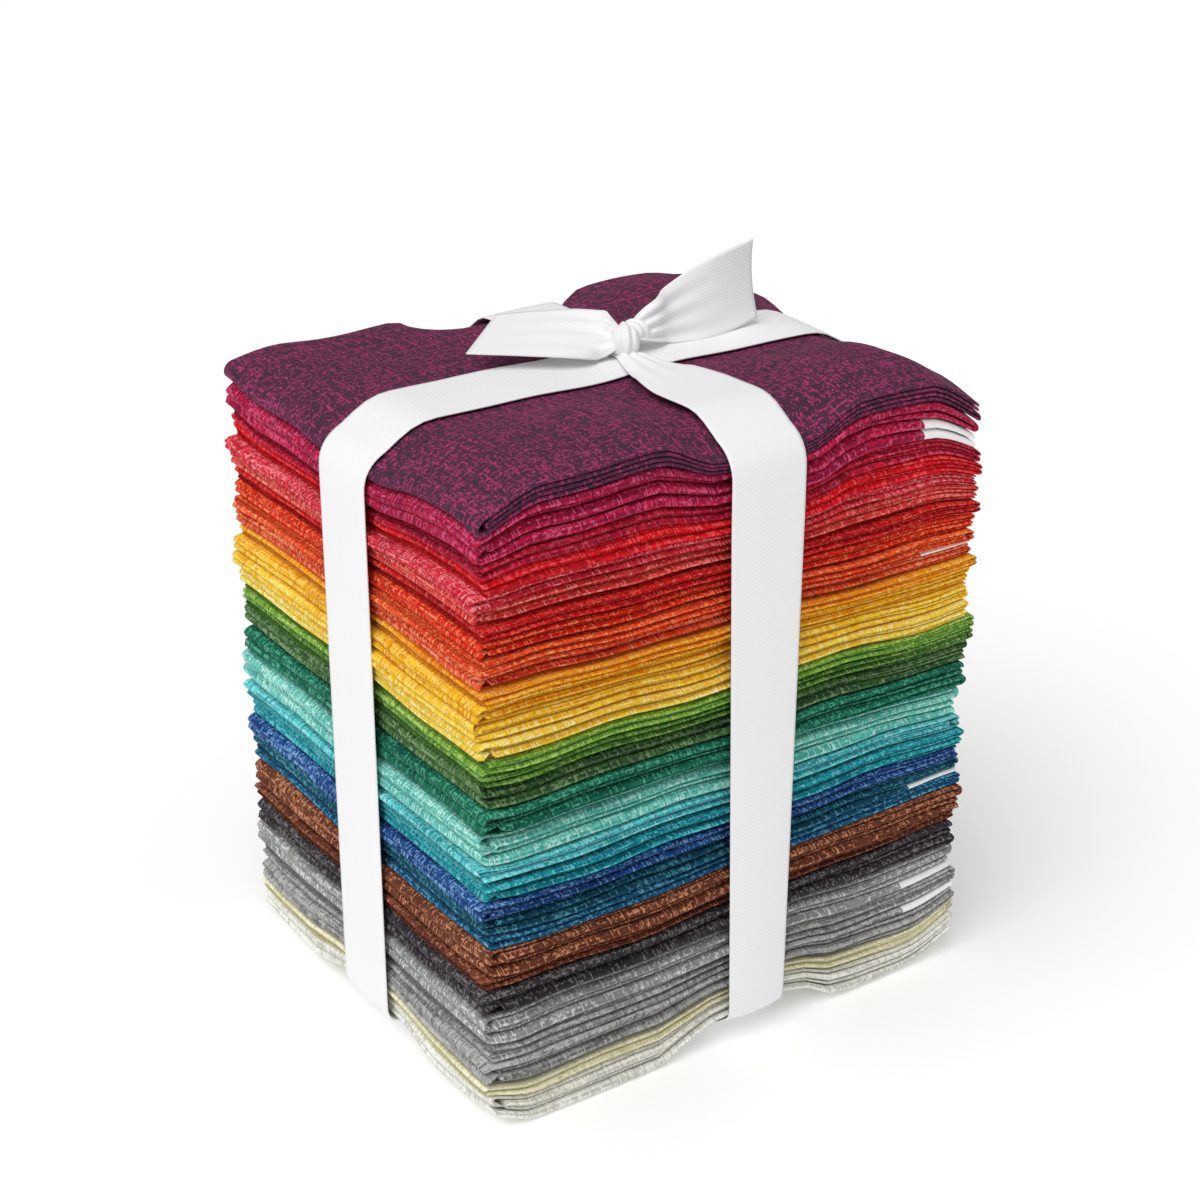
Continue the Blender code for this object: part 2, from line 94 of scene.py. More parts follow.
# %% The table of quarters
Quarter = namedtuple("Quarter", "label height lay shift_x shift_y ground dark light selvedge")
QUARTERS = tuple(Quarter(*row) for row in (
    ("off_white", 5.6, "ridge", 0.3, -0.3, (244, 243, 233), (188, 188, 178), (250, 250, 246), ""),
    ("cream", 3.3, "edges", 0.0, 0.4, (247, 243, 214), (205, 196, 150), (252, 249, 226), ""),
    ("grey", 6.5, "ridge_over", -0.2, -0.5, (172, 172, 169), (92, 92, 92), (196, 196, 192), "first"),
    ("mid_grey", 3.2, "edges_over", 0.5, 0.2, (166, 168, 165), (104, 104, 104), (205, 205, 202), ""),
    ("light_grey", 7.5, "ridge", -0.3, 0.6, (158, 158, 154), (128, 130, 132), (224, 226, 226), "first"),
    ("charcoal", 7.9, "ridge_over", -0.6, -0.4, (56, 50, 52), (36, 34, 40), (126, 122, 124), ""),
    ("brown", 3.1, "edges", -0.9, 0.3, (118, 58, 38), (70, 34, 28), (186, 122, 92), ""),
    ("rust", 7.6, "ridge", 0.1, -0.9, (112, 62, 46), (92, 40, 26), (214, 146, 104), ""),
    ("blue_teal", 3.1, "edges_over", 0.6, 0.5, (16, 95, 132), (14, 62, 102), (104, 178, 208), ""),
    ("dark_teal", 4.7, "ridge", 0.2, 0.7, (12, 84, 108), (8, 54, 78), (84, 160, 176), "first"),
    ("royal_blue", 4.9, "ridge_over", -0.8, 0.2, (32, 84, 148), (20, 42, 98), (128, 172, 222), ""),
    ("turquoise", 5.3, "ridge", 0.2, -0.8, (18, 158, 168), (8, 94, 118), (110, 208, 214), ""),
    ("aqua", 4.3, "edges", -0.9, 0.4, (98, 216, 222), (30, 124, 138), (172, 232, 230), ""),
    ("mint", 8.5, "ridge", -0.9, 0.7, (120, 211, 198), (64, 158, 150), (206, 244, 232), ""),
    ("teal_green", 7.1, "ridge_over", -0.2, -0.6, (20, 113, 82), (8, 72, 62), (88, 176, 148), ""),
    ("sage", 5.3, "ridge", 0.5, 0.5, (72, 118, 56), (34, 62, 44), (138, 164, 122), ""),
    ("olive", 3.0, "edges", 0.8, 0.0, (100, 156, 66), (46, 82, 36), (164, 194, 104), ""),
    ("light_green", 3.6, "edges_over", 0.7, -0.5, (138, 184, 70), (66, 130, 46), (194, 222, 126), ""),
    ("pale_yellow", 4.5, "ridge", -0.9, -0.9, (238, 220, 72), (232, 170, 40), (254, 244, 186), ""),
    ("light_yellow", 4.3, "ridge_over", -1.0, 0.5, (247, 218, 52), (230, 152, 20), (254, 236, 150), ""),
    ("golden", 4.6, "ridge", -0.5, 0.8, (247, 200, 22), (216, 118, 8), (254, 220, 120), ""),
    ("yellow_orange", 3.0, "edges", 0.4, -0.6, (247, 180, 20), (222, 108, 14), (254, 212, 112), ""),
    ("coral_orange", 4.6, "ridge_over", 0.0, 0.4, (240, 90, 38), (176, 40, 28), (250, 168, 128), "first"),
    ("orange", 3.0, "edges_over", -0.8, -0.7, (245, 86, 34), (190, 44, 20), (252, 172, 112), ""),
    ("red_orange", 3.8, "ridge", 0.1, 0.3, (236, 44, 16), (170, 26, 18), (250, 140, 90), ""),
    ("dark_red", 3.2, "edges", 0.9, -0.4, (222, 12, 16), (130, 8, 18), (232, 98, 84), ""),
    ("salmon", 3.8, "ridge", 0.6, 0.6, (240, 72, 68), (168, 34, 42), (246, 156, 140), ""),
    ("coral_pink", 3.0, "ridge_over", -0.8, 0.1, (230, 50, 66), (166, 26, 52), (246, 150, 156), ""),
    ("bright_red", 3.0, "edges", 0.9, -0.5, (240, 8, 20), (160, 4, 28), (244, 92, 96), ""),
    ("crimson", 3.0, "edges_over", 0.6, 0.3, (208, 18, 50), (116, 8, 44), (220, 84, 112), ""),
    ("raspberry", 7.3, "ridge", -0.8, -0.3, (194, 18, 62), (110, 10, 56), (216, 88, 132), "both"),
    ("plum", 4.9, "ridge_over", -0.2, 0.2, (84, 40, 64), (62, 38, 62), (176, 56, 112), ""),
))
DRAWN = np.array([row.height for row in QUARTERS]) * MM
HEIGHTS = DRAWN + (MEAN_PIECE - DRAWN) * PIECE_EVENING
LEVELS = np.concatenate([[0.0], np.cumsum(HEIGHTS)])
FULL_PUFF_LEVEL = LEVELS[-2]
print("quarters:", len(QUARTERS), "height at the corners in mm:", round(LEVELS[-1] / MM, 1))

# %% [markdown]
# ## Where the ribbon presses
#
# The ribbon is tight, so it presses two crossing valleys into the top and the underside, and the cloth
# stands up in four soft cushions between them. The cushions fade out inside the stack, where the layers lie
# level. One function gives the height of any level of the stack at any place.

# %% The ribbon's places and the cushions' heights
BAND_X_AT_Y = -1.0 * MM
BAND_Y_AT_X = 5.0 * MM
RIBBON_WIDTH = 20.5 * MM
VALLEY_MARGIN = 1.5 * MM
EDGE_ZONE = 13 * MM
PUFF_EDGE = 17 * MM
VALLEY_FADE = 17 * MM
TOP_PUFF_DEPTH = 31 * MM
BOTTOM_PUFF_DEPTH = 25 * MM
PUFF_FADE = 1.5
PLUM_PINCH = 1.3 * MM
TOP_PUFF = {
    "front": 7.5, "back": 3.0, "left": 0.0, "left_tilt": 2.0, "right": 3.3, "inside": 0.7, "rightwards": 0.18
}
BOTTOM_PUFF = {
    "front": 6.2, "back": 6.2, "left": 2.0, "left_tilt": 0.0, "right": 3.0, "inside": 1.5, "rightwards": 0.0
}
TOP_VALLEY = {
    "band_x": 0.72, "band_y": 0.80, "at_face": 0.60, "left": 1.8, "right": 2.0, "front": 1.8, "back": 6.0
}
BOTTOM_VALLEY = {
    "band_x": 0.15, "band_y": 0.15, "at_face": 0.0, "left": 2.2, "right": 2.2, "front": 1.8, "back": 1.8
}


def ramp(value):
    """0 below 0, 1 above 1, and the smooth S 3v^2 - 2v^3 between."""
    value = np.clip(value, 0.0, 1.0)
    return value * value * (3 - 2 * value)


def from_edge(position, size, zone):
    """0 at both ends of a side of this size, t + t^2 - t^3 inwards, 1 from zone on."""
    inwards = np.clip((size / 2 - np.abs(position)) / zone, 0.0, 1.0)
    return inwards * (1 + inwards - inwards * inwards)


def under_band(position, centre):
    """1 under a band of the ribbon, fading to 0 beside it."""
    return 1 - ramp((np.abs(position - centre) - RIBBON_WIDTH / 2 - VALLEY_MARGIN) / VALLEY_FADE)


def puff(x, y, heights, valley):
    """Height of the cushions: face arches times in_x, narrow-face arches times in_y, less the valleys."""
    in_x = from_edge(x, WIDTH, PUFF_EDGE)
    in_y = from_edge(y, DEPTH, PUFF_EDGE)
    band_x = under_band(y, BAND_X_AT_Y)
    band_y = under_band(x, BAND_Y_AT_X)
    wide_face = heights["front"] + (heights["back"] - heights["front"]) * (y / DEPTH + 0.5)
    wide_face = wide_face * (1 + heights["rightwards"] * x / (WIDTH / 2))
    narrow_face = heights["left"] + (heights["right"] - heights["left"]) * (x / WIDTH + 0.5)
    narrow_face = narrow_face - heights["left_tilt"] * y / (DEPTH / 2) * (0.5 - x / WIDTH)
    crown = wide_face * in_x + narrow_face * in_y + heights["inside"] * in_x * in_y
    kept_x = valley["at_face"] + (valley["band_x"] - valley["at_face"]) * in_x
    kept_y = valley["at_face"] + (valley["band_y"] - valley["at_face"]) * in_y
    pressed_x, pressed_y = band_x * (1 - kept_x), band_y * (1 - kept_y)
    at_x_edge, at_y_edge = 1 - from_edge(x, WIDTH, EDGE_ZONE), 1 - from_edge(y, DEPTH, EDGE_ZONE)
    pulled_x = np.where(x < 0, valley["left"], valley["right"]) * band_x * at_x_edge
    pulled_y = np.where(y < 0, valley["front"], valley["back"]) * band_y * at_y_edge
    return (crown * (1 - np.maximum(pressed_x, pressed_y)) - pulled_x - pulled_y) * MM


def surface_between(level, x, y):
    """Height of one level of the stack: the level, less the hanging cushions, plus the standing ones."""
    x, y = np.clip(x, -WIDTH / 2, WIDTH / 2), np.clip(y, -DEPTH / 2, DEPTH / 2)
    below_top = np.clip(1 - (FULL_PUFF_LEVEL - level) / TOP_PUFF_DEPTH, 0.0, 1.0) ** PUFF_FADE
    above_floor = np.clip(1 - level / BOTTOM_PUFF_DEPTH, 0.0, 1.0) ** PUFF_FADE
    rightwards = x / WIDTH + 0.5
    rise = CORNER_RISE + RIGHT_RISE * rightwards
    hanging = np.minimum(puff(x, y, BOTTOM_PUFF, BOTTOM_VALLEY), rise)
    height = rise + level * (1 - RIGHT_SQUEEZE * rightwards) - above_floor * hanging
    height = height + below_top * puff(x, y, TOP_PUFF, TOP_VALLEY)
    if level > FULL_PUFF_LEVEL:
        pulled = under_band(y, BAND_X_AT_Y) * (1 - from_edge(x, WIDTH, EDGE_ZONE))
        pulled += under_band(x, BAND_Y_AT_X) * (1 - from_edge(y, DEPTH, EDGE_ZONE))
        height = height - PLUM_PINCH * np.minimum(pulled, 1.0)
    return height


at_cushion, at_valley = surface_between(LEVELS[-1], np.array([-0.04, BAND_Y_AT_X]), -0.03) / MM
print("top of the stack in mm:", round(float(at_cushion), 1), "and in the valley", round(float(at_valley), 1))

# %% [markdown]
# ## Folding a sheet on paper first
#
# A sheet folded in half twice makes a spiral in section: one thick fold wraps all four layers, a tight fold
# lies inside it, and the third fold lies with the two cut edges on the other side. The same line serves
# both ways of the cloth. Along X its four layers are the packs of the quarter, and along Y they are the four
# plies inside each pack. A line is all we need, because a sheet is one line swept along the other.

# %% The line of a double fold
HALF_PACK = 0.375
LOBE_PLACE = 0.72
LOBE_RADIUS = 0.80
GROOVE_WIDTH = 0.30


def half_turn(centre, reach, low, high, steps, side, crowd=1.0):
    """Half an ellipse from height low to high: centre plus reach times cosine, out towards side.

    Its points crowd towards the middle where crowd is over 1, and towards its ends where crowd is under 1.
    """
    share = np.linspace(-1, 1, steps + 1)[1:-1]
    angle = math.pi / 2 * np.sign(share) * np.abs(share) ** crowd
    return centre + side * reach * np.cos(angle), (low + high) / 2 + (high - low) / 2 * np.sin(angle)


def double_fold(places, pitch, steps, dent=0.0, slack=0.9, bulge=1.0):
    """Across and height, in layers, of a cloth folded in half twice, from cut edge to cut edge.

    places are the stations of one layer. The thick fold stands at the low end. With a dent it is two round
    lobes with a groove between them, as its inner fold draws it in. slack is how many layers' heights the
    inner fold stays back from it, steps are the points of the thick, the third and the inner fold, and bulge
    makes the thick fold reach further.
    """
    outer, inner = 2.0 * pitch * bulge, 0.9 * pitch
    left, right = places[0] + outer, places[-1] - inner
    middle = places[1:-1]
    run = np.concatenate([[left], middle, [right]])
    inside = np.concatenate([[left + slack * pitch], middle, [right]])
    outer_reach, inner_reach = outer - HALF_PACK * pitch, inner - HALF_PACK * pitch
    thick, thick_height = half_turn(left, outer_reach, 0.5, 3.5, steps[0], -1, 0.8 if dent else 1.0)
    if dent:
        from_middle = thick_height - 2.0
        from_lobe = (np.abs(from_middle) - LOBE_PLACE) / LOBE_RADIUS
        thick = left - outer_reach * np.sqrt(np.maximum(1 - from_lobe**2, 0.0))
        thick = thick + dent * np.exp(-((from_middle / GROOVE_WIDTH) ** 2))
    third, third_height = half_turn(right, inner_reach, 3.5, 2.5, steps[1], 1)
    tight, tight_height = half_turn(inside[0], 0.5 * pitch, 2.5, 1.5, steps[2], -1)
    ones = np.ones(len(run))
    across = np.concatenate([run[::-1], thick, run, third, inside[::-1], tight, inside])
    height = [0.5 * ones, thick_height, 3.5 * ones, third_height, 2.5 * ones, tight_height, 1.5 * ones]
    return across, np.concatenate(height)


def outward(across, height):
    """The unit normal of that line in millimetre space: its tangent turned a quarter to the left."""
    run, rise = np.gradient(across), np.gradient(height)
    length = np.hypot(run, rise) + 1e-12
    return -rise / length, run / length


def spread(size, ends, count):
    """Stations along a side: close together at both ends, even between."""
    near = np.array(ends) * MM
    low, high = -size / 2 + near, size / 2 - near[::-1]
    return np.concatenate([low, np.linspace(low[-1], high[0], count + 2)[1:-1], high])


X_PLACES = spread(WIDTH, (0, 5.5, 7.5, 10, 13.5, 18), 13)
Y_PLACES = spread(DEPTH, (0, 1.7, 3.0, 5.0, 8.0, 13.0), 5)
TOP_X_PLACES = spread(WIDTH, (0, 4.5, 6.5, 9, 12, 15.5, 19), 26)
TOP_Y_PLACES = spread(DEPTH, (0, 1.4, 2.6, 4.4, 7.0, 10, 14, 18), 17)
print("stations:", len(X_PLACES), "x", len(Y_PLACES))
print("stations on the top quarter:", len(TOP_X_PLACES), "x", len(TOP_Y_PLACES))

# %% [markdown]
# ## What makes a pile look like cloth
#
# Real packs are never in line. Each of the four packs of a quarter stands out or back a little at the front,
# those that stand out are fluffier, and the whole pile swells and sags over a few centimetres. The swell is
# one smooth field for the whole stack, so that neighbours move together and never pass through each other.

# %% Swell of the pile and unevenness of the packs
Wave = namedtuple("Wave", "height along_x along_y along_z phase")
SWELL = (
    Wave(0.42, 61, 150, 83, 0.6),
    Wave(0.22, 34, math.inf, -47, 2.1),
    Wave(0.30, math.inf, 52, 61, 4.0),
)


def swell(x, y, z):
    """A slow height change: three sine waves, each with its length in mm along x, y and z."""
    total = 0.0
    for wave in SWELL:
        turns = x / (wave.along_x * MM) + y / (wave.along_y * MM) + z / (wave.along_z * MM)
        total = total + wave.height * np.sin(2 * math.pi * turns + wave.phase)
    return total * MM


def waves(position, rng, sizes, count=3):
    """A sum of sine waves with drawn lengths and phases, about one high."""
    total = np.zeros_like(position)
    for _ in range(count):
        total += np.sin(2 * math.pi * position / rng.uniform(*sizes) + rng.uniform(0, 2 * math.pi))
    return total / count


def pack_values(level, values):
    """One value for each pack, met smoothly between them."""
    return np.interp(level, [0.5, 1.5, 2.5, 3.5], values)


END_ZONE = 16 * MM
SIDE_ZONE = 14 * MM
CORNER_ZONE = 9 * MM
BACK_SLACK = 2.0 * MM
TUCK = 2.4 * MM
THIN_PACK = 0.42
THICK_PACK = 1.58
UPPER_OUT = (0.0, 1.0, 0.1, 0.9)
LOWER_OUT = (1.0, 0.1, 0.85, 0.0)
TWO_SELVEDGES_OUT = (1.0, 0.8, 0.0, 0.9)


def quarter_points(index):
    """Points and flat coordinates of one folded sheet: the X line swept along the Y line."""
    row = QUARTERS[index]
    rng = np.random.default_rng(500 + index)
    top = index == len(QUARTERS) - 1
    x_places, y_places = (TOP_X_PLACES, TOP_Y_PLACES) if top else (X_PLACES, Y_PLACES)
    pitch = (HEIGHTS[index] - CLOTH_GAP) / 4
    ply = pitch / 4
    groove, slack = (0.0, 0.9) if top else (rng.uniform(0.9, 1.5), rng.uniform(0.3, 1.9))
    across, height = double_fold(x_places, pitch, (12, 6, 5), dent=groove * pitch, slack=slack)
    deep, deep_height = double_fold(y_places, ply, (8, 4, 4), bulge=1.0 if top else 1.5)
    normal_x, normal_level = outward(across, height * pitch)
    offset = deep_height - 2
    x = across[:, None] + normal_x[:, None] * offset * ply
    level = height[:, None] + normal_level[:, None] * offset / 4
    y = np.repeat(deep[None, :], len(across), axis=0)
    flat_u = np.concatenate([[0], np.cumsum(np.hypot(np.diff(across), np.diff(height * pitch)))])
    flat_v = np.concatenate([[0], np.cumsum(np.hypot(np.diff(deep), np.diff(deep_height * ply)))])
    if row.lay.startswith("edges"):
        x = -x
    if row.lay.endswith("over"):
        level = 4 - level
    # Packs stand out or back at the front and the back, and the ones that stand out are fluffier.
    upper_out = row.lay.endswith("over") if row.selvedge else rng.random() < 0.5
    out = np.array(UPPER_OUT if upper_out else LOWER_OUT)
    if row.selvedge == "both":
        out = np.array(TWO_SELVEDGES_OUT)
    loose = 0.0 if top else 1.0
    at_front = 1 - ramp((y + DEPTH / 2) / END_ZONE)
    at_back = 1 - ramp((DEPTH / 2 - y) / END_ZONE)
    # Towards the right end they lie more in line.
    calm = 1 - 0.7 * ramp((x - 25 * MM) / (35 * MM))
    back_by = (1 - out) * rng.uniform(1.3, 2.4) * MM * loose
    ripple = waves(x, rng, (0.025, 0.06)) * 0.35 * MM
    near_corner = (1 - ramp((WIDTH / 2 + x) / CORNER_ZONE)) * loose
    tuck = rng.uniform(0.0, 1.0, 4) * TUCK
    y = y + at_front * (calm * pack_values(level, back_by) + ripple + near_corner * pack_values(level, tuck))
    y = y - at_back * (0.35 * pack_values(level, np.roll(back_by, 1)) + ripple)
    # The upper quarters are a little looser at the back, beside the ribbon.
    y = y + at_back * BACK_SLACK * (1 - under_band(x, BAND_Y_AT_X)) * ramp(LEVELS[index] / (90 * MM))
    shares = THIN_PACK + (THICK_PACK - THIN_PACK) * out if loose else np.ones(4)
    bounds = np.concatenate([[0], np.cumsum(shares / shares.sum() * 4)])
    fluffed = 0.9 * np.maximum(at_front * calm, at_back * 0.5)
    level = level + fluffed * (np.interp(level, range(5), bounds) - level)
    # The folds on the narrow faces run a little in and out along the cloth.
    at_side = 1 - ramp((WIDTH / 2 - np.abs(x)) / SIDE_ZONE)
    wander = waves(y, rng, (0.03, 0.08)) * 0.4 + rng.uniform(-0.5, 0.5)
    x = x + at_side * np.sign(x) * wander * MM * (0.4 if top else 1.0)
    x, y = x + row.shift_x * MM, y + row.shift_y * MM
    low = surface_between(LEVELS[index], x, y) + CLOTH_GAP / 2
    high = surface_between(LEVELS[index + 1], x, y) - CLOTH_GAP / 2
    z = low + (high - low) * level / 4
    z = z + swell(x, y, z) * ramp(z / (12 * MM))
    return np.stack([x, y, z], axis=-1), (flat_u, flat_v)


sample, _ = quarter_points(13)
print("points of one sheet:", sample.shape)
print("its size in mm:", np.round(np.ptp(sample.reshape(-1, 3), axis=0) / MM, 1))

# %% [markdown]
# ## Shader maths in plain Python
#
# A print is worked out from the sheet's own flat coordinates, as if it were printed before it was folded.
# To keep the formulas readable, a small class wraps a socket, so that an expression such as 1 - streaks adds
# its Math nodes by itself.

# %% A socket that can be calculated with
class Value:
    """One output of a node. Its operators add Math nodes to the same material."""

    def __init__(self, finish, socket):
        self.finish = finish
        self.socket = socket

    def math(self, operation, *others, clamp=False):
        settings = {"operation": operation, "use_clamp": clamp}
        return self.finish.add("ShaderNodeMath", settings, dict(enumerate((self, *others))))

    def __add__(self, other):
        return self.math("ADD", other)

    __radd__ = __add__

    def __sub__(self, other):
        return self.math("SUBTRACT", other)

    def __rsub__(self, other):
        return self.math("MULTIPLY_ADD", -1.0, other)

    def __mul__(self, other):
        return self.math("MULTIPLY", other)

    __rmul__ = __mul__

    def step(self, low, high):
        """0 at low, 1 at high and beyond, straight between."""
        return ((self - low) * (1 / (high - low))).math("ADD", 0.0, clamp=True)


class Finish:
    """A material with one Principled shader, and one method that adds any other node."""

    def __init__(self, name, roughness, sheen=0.0):
        self.material = bpy.data.materials.new(name)
        self.material.use_nodes = True
        self.tree = self.material.node_tree
        self.shader = self.tree.nodes["Principled BSDF"]
        self.shader.inputs["Roughness"].default_value = roughness
        self.shader.inputs["Specular IOR Level"].default_value = 0.25
        self.shader.inputs["Sheen Weight"].default_value = sheen
        self.shader.inputs["Sheen Roughness"].default_value = 0.5

    def add(self, kind, settings, inputs, output=0):
        node = self.tree.nodes.new(kind)
        for key, value in settings.items():
            setattr(node, key, value)
        for key, value in inputs.items():
            if isinstance(value, Value):
                self.tree.links.new(value.socket, node.inputs[key])
            else:
                node.inputs[key].default_value = value
        return Value(self, node.outputs[output])

    def parts_of(self, vector):
        """The first two parts of a vector."""
        node = self.tree.nodes.new("ShaderNodeSeparateXYZ")
        self.tree.links.new(vector.socket, node.inputs[0])
        return Value(self, node.outputs[0]), Value(self, node.outputs[1])

    def mix(self, factor, first, second):
        """The colour between two, by factor."""
        return self.add("ShaderNodeMix", {"data_type": "RGBA"}, {0: factor, 6: first, 7: second}, output=2)

    def drive(self, socket, value):
        self.tree.links.new(value.socket, self.shader.inputs[socket])


def linear(colour):
    """An sRGB colour of 0 to 255 as linear light with alpha."""
    share = np.array(colour) / 255
    light = np.where(share <= 0.04045, share / 12.92, ((share + 0.055) / 1.055) ** 2.4)
    return (*light.tolist(), 1.0)


# %% [markdown]
# ## The crosshatched cotton
#
# The print imitates a slubby linen: dashes one thread wide run along both threads, light and dark. Each
# thread is numbered by rounding down the flat coordinate across it, and a noise that is read anew for each
# number gives dashes of uneven length. A slow noise along each thread makes some stretches darker and others
# richer in flecks. The bare selvedge is a plain white strip along a cut end.

# %% Cotton material
SELVEDGE = 16 * MM
THREAD = 0.30 * MM


def cotton(label, ground, dark, light, selvedge, total):
    """Ground, then dark and light slubs along both threads, then the selvedge at 0 and maybe at total."""
    finish = Finish(f"cotton_{label}", 0.9)
    flat = finish.add("ShaderNodeUVMap", {"uv_map": "flat"}, {})
    u, v = finish.parts_of(flat)

    def slubs(along, across, per_metre, seed):
        """A noise read along each thread, and anew for every thread."""
        thread = (across * (1 / THREAD)).math("FLOOR")
        place = finish.add("ShaderNodeCombineXYZ", {}, {0: along * per_metre, 1: thread * 7.31, 2: seed})
        return finish.add("ShaderNodeTexNoise", {}, {"Vector": place, "Scale": 1.0, "Detail": 1.0})

    long_weft, long_warp = slubs(u, v, 45.0, 12.3), slubs(v, u, 45.0, 17.9)
    weft = slubs(u, v, 800.0, 3.1) + (long_weft - 0.5) * 0.5
    warp = slubs(v, u, 800.0, 7.7) + (long_warp - 0.5) * 0.5
    dark_slub = (long_weft.step(0.50, 0.36) + long_warp.step(0.50, 0.36)) * 0.6 + weft.step(0.44, 0.36) * 0.5
    light_slub = weft.step(0.58, 0.68) * 0.85 + warp.step(0.58, 0.68) * 0.85
    colour = finish.mix(dark_slub.math("MINIMUM", 0.9), linear(ground), linear(dark))
    colour = finish.mix(light_slub.math("MINIMUM", 0.9), colour, linear(light))
    if selvedge:
        edge = SELVEDGE / MM
        strip = 1 - (u * 1000).step(edge - 0.1, edge + 0.1)
        if selvedge == "both":
            strip = strip + (u * 1000).step(total / MM - edge - 0.1, total / MM - edge + 0.1)
        colour = finish.mix(strip.math("MINIMUM", 1.0), colour, linear((247, 247, 246)))
    finish.drive("Base Color", colour)
    bump = finish.add("ShaderNodeBump", {}, {"Strength": 0.5, "Distance": 0.00012, "Height": weft + warp})
    finish.drive("Normal", bump)
    return finish.material


# %% [markdown]
# ## From arrays to meshes
#
# A grid of points becomes a mesh of quads in one go. The flat coordinates go along as a UV map in metres,
# so that every print has its true size on the cloth.

# %% One mesh from a grid
def grid_mesh(name, points, flat, around=False):
    """Quads between neighbouring points of a grid; around joins the last row to the first."""
    rows, columns = points.shape[:2]
    index = np.arange(rows * columns).reshape(rows, columns)
    if around:
        index = np.vstack([index, index[:1]])
    quads = np.stack([index[:-1, :-1], index[1:, :-1], index[1:, 1:], index[:-1, 1:]], axis=-1).reshape(-1, 4)
    mesh = bpy.data.meshes.new(name)
    mesh.vertices.add(rows * columns)
    mesh.vertices.foreach_set("co", points.reshape(-1).astype(np.float32))
    mesh.loops.add(quads.size)
    mesh.loops.foreach_set("vertex_index", quads.reshape(-1).astype(np.int32))
    mesh.polygons.add(len(quads))
    mesh.polygons.foreach_set("loop_start", np.arange(0, quads.size, 4, dtype=np.int32))
    mesh.polygons.foreach_set("loop_total", np.full(len(quads), 4, dtype=np.int32))
    mesh.update(calc_edges=True)
    u, v = np.meshgrid(flat[0], flat[1], indexing="ij")
    coordinates = np.stack([u, v], axis=-1).reshape(-1, 2)
    layer = mesh.uv_layers.new(name="flat")
    layer.data.foreach_set("uv", coordinates[quads.reshape(-1)].reshape(-1).astype(np.float32))
    mesh.shade_smooth()
    thing = bpy.data.objects.new(name, mesh)
    bpy.context.scene.collection.objects.link(thing)
    return thing


# %% Lay all the quarters
for number, row in enumerate(QUARTERS):
    label = row.label
    points, flat = quarter_points(number)
    cloth = grid_mesh(f"cloth_{number + 1:02d}_{label}", points, flat)
    finish = cotton(label, row.ground, row.dark, row.light, row.selvedge, flat[0][-1])
    cloth.data.materials.append(finish)
    node = f"quarter_{number + 1:02d}_{label}"
    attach(cloth, "root")
    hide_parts(node)
    below = f"cloth_{number:02d}_{QUARTERS[number - 1].label}" if number else []
faces = sum(len(thing.data.polygons) for thing in bpy.data.objects if thing.name.startswith("cloth_"))
print("quads in all sheets:", faces)

# %% [markdown]
# ## The ribbon's bands
#
# A woven ribbon is thin and stiff across. It lies in the valleys, follows their slope over the top edges
# and runs straight down the faces, where it cups a little. Each band is a closed line in section with the
# width swept across it.

# %% Ribbon material
def ribbon_finish():
    """White, with a fine twill of sine ridges across the flat coordinates in the bump alone."""
    finish = Finish("ribbon_white", 0.5, sheen=0.1)
    flat = finish.add("ShaderNodeUVMap", {"uv_map": "flat"}, {})
    twill = finish.add(
        "ShaderNodeTexWave",
        {"wave_type": "BANDS", "bands_direction": "DIAGONAL"},
        {"Vector": flat, "Scale": 620.0, "Distortion": 0.4},
        output=1,
    )
    shade = finish.mix(twill, linear((243, 243, 245)), linear((252, 252, 253)))
    finish.drive("Base Color", shade)
    bump = finish.add("ShaderNodeBump", {}, {"Strength": 0.2, "Distance": 0.0001, "Height": twill})
    finish.drive("Normal", bump)
    return finish.material


RIBBON = ribbon_finish()
RIBBON_THICKNESS = 0.3 * MM
print("ribbon width in mm:", round(RIBBON_WIDTH / MM, 1))

# %% The line of a band round the stack
BAND_REACH_X = WIDTH / 2 + 1.45 * MM
BAND_REACH_Y = DEPTH / 2 + 1.8 * MM
TOP_BEND = 6 * MM
BEND_SLACK = 1.2 * MM
BOTTOM_BEND = 5 * MM


def bend(start, end, corner, steps):
    """A quadratic curve from start to end, drawn towards corner."""
    share = np.linspace(0.0, 1.0, steps)[1:-1, None]
    start, end, corner = np.array(start), np.array(end), np.array(corner)
    return start * (1 - share) ** 2 + corner * 2 * share * (1 - share) + end * share**2


def band_line(reach, top, bottom, inset):
    """The closed line of a band: over the top, down one side, under the stack and up the other.

    Each top bend is drawn towards the place where the slope of the top meets the face.
    """
    along = np.linspace(-reach + inset, reach - inset, 41)
    over = np.column_stack([along[::-1], top(along[::-1])])
    under_along = np.linspace(-reach + BOTTOM_BEND, reach - BOTTOM_BEND, 31)
    under = np.column_stack([under_along, bottom(under_along)])
    left_corner = BEND_SLACK + over[-1, 1] + inset * (over[-1, 1] - over[-2, 1]) / (over[-2, 0] - over[-1, 0])
    right_corner = BEND_SLACK + over[0, 1] + inset * (over[0, 1] - over[1, 1]) / (over[0, 0] - over[1, 0])
    left_top, left_foot = left_corner - TOP_BEND, under[0, 1] + BOTTOM_BEND
    right_top, right_foot = right_corner - TOP_BEND, under[-1, 1] + BOTTOM_BEND
    down = np.column_stack([np.full(24, -reach), np.linspace(left_top, left_foot, 24)])
    up = np.column_stack([np.full(24, reach), np.linspace(right_foot, right_top, 24)])
    return np.concatenate([
        over,
        bend(over[-1], down[0], (-reach, left_corner), 9),
        down,
        bend(down[-1], under[0], (-reach, under[0, 1]), 7),
        under,
        bend(under[-1], up[0], (reach, under[-1, 1]), 7),
        up,
        bend(up[-1], over[0], (reach, right_corner), 9),
    ])


